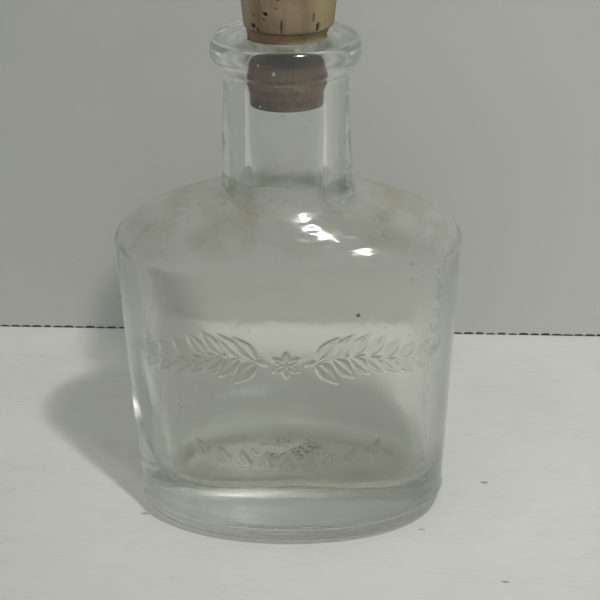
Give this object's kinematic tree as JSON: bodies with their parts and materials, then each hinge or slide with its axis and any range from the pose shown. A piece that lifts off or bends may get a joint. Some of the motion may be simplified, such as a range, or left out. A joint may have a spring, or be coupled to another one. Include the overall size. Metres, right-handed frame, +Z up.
{
  "type": "apothecary bottle with cork",
  "caption": "Small oval glass bottle with a heavy base, domed shoulder and ringed neck, closed by a tapered cork that pulls straight out.",
  "frame": {"origin": "middle of the foot, on the surface that the bottle stands on", "axes": "+Z up along the neck, +X along the wide side of the oval body, front faces -Y"},
  "size_m": [0.057, 0.0318, 0.0967],
  "materials": {
    "clear_glass": "clear, slightly grey-green, smooth with faint waves",
    "cork": "dry natural cork, matt, with dark pores"
  },
  "bodies": {
    "bottle": {"glass_bottle": "clear_glass"},
    "stopper": {"cork_stopper": "cork"}
  },
  "joints": [
    {"name": "cork_pull", "type": "slide", "parent": "bottle", "child": "stopper", "axis": [0, 0, 1], "range_m": [0, 0.03]}
  ]
}
